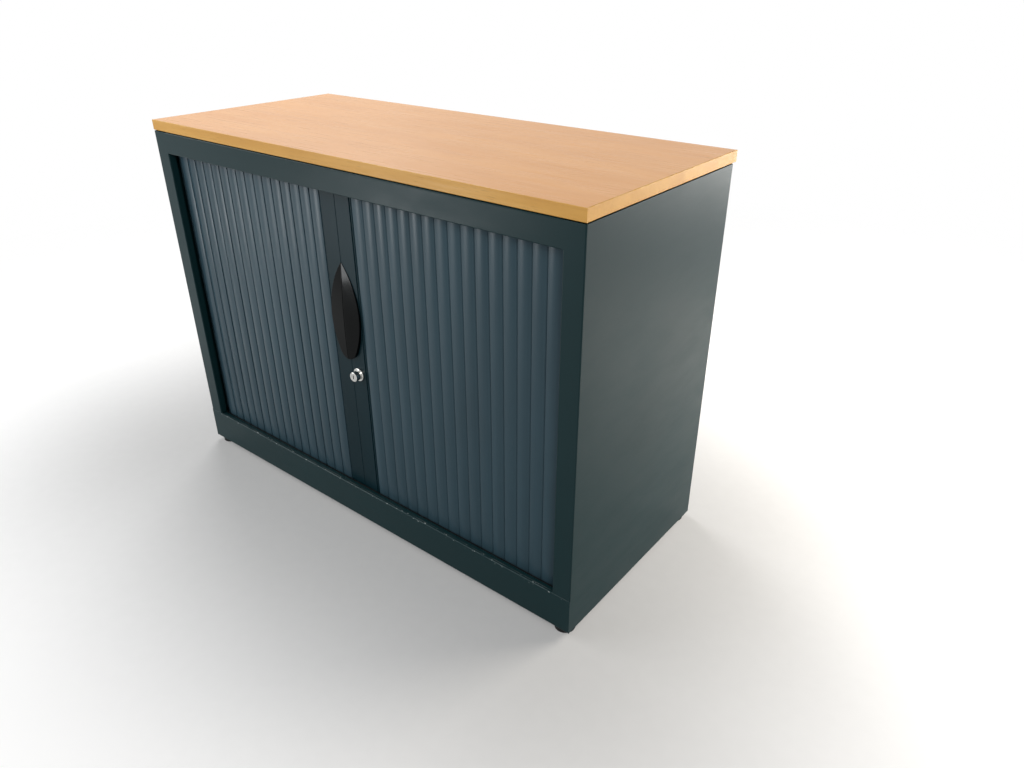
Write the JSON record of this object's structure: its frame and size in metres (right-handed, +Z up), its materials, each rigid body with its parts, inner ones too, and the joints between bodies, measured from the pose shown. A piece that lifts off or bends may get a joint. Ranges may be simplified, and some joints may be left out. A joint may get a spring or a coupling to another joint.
{
  "type": "roll front cabinet",
  "caption": "Low steel storage cupboard with a wooden top board and slatted roll fronts that slide sideways from the middle, with a split almond-shaped grip and a push lock.",
  "frame": {"origin": "on the floor under the middle of the top board", "axes": "+X to the right seen from the front, +Y to the back, +Z up"},
  "size_m": [1, 0.432, 0.722],
  "materials": {
    "board_wood": "satin",
    "edging_wood": "satin",
    "case_paint": "satin",
    "inner_paint": "satin",
    "slat_plastic": "satin",
    "lath_plastic": "satin",
    "grip_plastic": "polished",
    "lock_chrome": "polished",
    "track_plastic": "matte",
    "glide_plastic": "matte",
    "zinc_steel": "brushed"
  },
  "bodies": {
    "cabinet": {"top_board": "board_wood", "board_edging": "edging_wood", "left_side_panel": "case_paint", "right_side_panel": "case_paint", "top_rail": "case_paint", "plinth": "case_paint", "back_panel": "case_paint", "top_plate": "inner_paint", "base_deck": "inner_paint", "ceiling_deck": "inner_paint", "floor_pan": "inner_paint", "left_liner": "inner_paint", "right_liner": "inner_paint", "inner_back_panel": "inner_paint", "shelf": "inner_paint", "shelf_clips": "zinc_steel", "front_tracks": "track_plastic", "front_corner_guides": "track_plastic", "side_tracks": "track_plastic", "rear_corner_guides": "track_plastic", "foot_brackets": "zinc_steel", "board_screws": "zinc_steel", "back_screws": "zinc_steel", "left_curtain_tail": "slat_plastic", "right_curtain_tail": "slat_plastic"},
    "left_door": {"left_curtain": "slat_plastic", "left_lath": "lath_plastic", "left_handle": "grip_plastic", "left_handle_screws": "zinc_steel", "keeper": "zinc_steel", "keeper_screws": "zinc_steel"},
    "right_door": {"right_curtain": "slat_plastic", "right_lath": "lath_plastic", "right_handle": "grip_plastic", "right_handle_screws": "zinc_steel", "lock_collar": "lock_chrome", "lock_nut": "zinc_steel"},
    "lock_button": {"lock_plunger": "lock_chrome"},
    "lock_core": {"lock_plug": "lock_chrome"},
    "front_left_foot": {"front_left_glide": "glide_plastic"},
    "front_right_foot": {"front_right_glide": "glide_plastic"},
    "rear_left_foot": {"rear_left_glide": "glide_plastic"},
    "rear_right_foot": {"rear_right_glide": "glide_plastic"}
  },
  "joints": [
    {"name": "left_door_slide", "type": "slide", "parent": "cabinet", "child": "left_door", "axis": [-1, 0, 0], "range_m": [0, 0.405], "deforming": ["left_curtain"]},
    {"name": "right_door_slide", "type": "slide", "parent": "cabinet", "child": "right_door", "axis": [1, 0, 0], "range_m": [0, 0.405], "deforming": ["right_curtain"]},
    {"name": "lock_push", "type": "slide", "parent": "right_door", "child": "lock_button", "axis": [0, 1, 0], "range_m": [0, 0.01], "stiffness_N_per_m": 400},
    {"name": "key_turn", "type": "hinge", "parent": "lock_button", "child": "lock_core", "pos_m": [0.0185, -0.2154, 0.332], "axis": [0, 1, 0], "range_deg": [0, 90]},
    {"name": "front_left_glide_turn", "type": "hinge", "parent": "cabinet", "child": "front_left_foot", "pos_m": [-0.478, -0.194, 0], "axis": [0, 0, 1], "continuous": true},
    {"name": "front_right_glide_turn", "type": "hinge", "parent": "cabinet", "child": "front_right_foot", "pos_m": [0.478, -0.194, 0], "axis": [0, 0, 1], "continuous": true},
    {"name": "rear_left_glide_turn", "type": "hinge", "parent": "cabinet", "child": "rear_left_foot", "pos_m": [-0.478, 0.185, 0], "axis": [0, 0, 1], "continuous": true},
    {"name": "rear_right_glide_turn", "type": "hinge", "parent": "cabinet", "child": "rear_right_foot", "pos_m": [0.478, 0.185, 0], "axis": [0, 0, 1], "continuous": true}
  ]
}
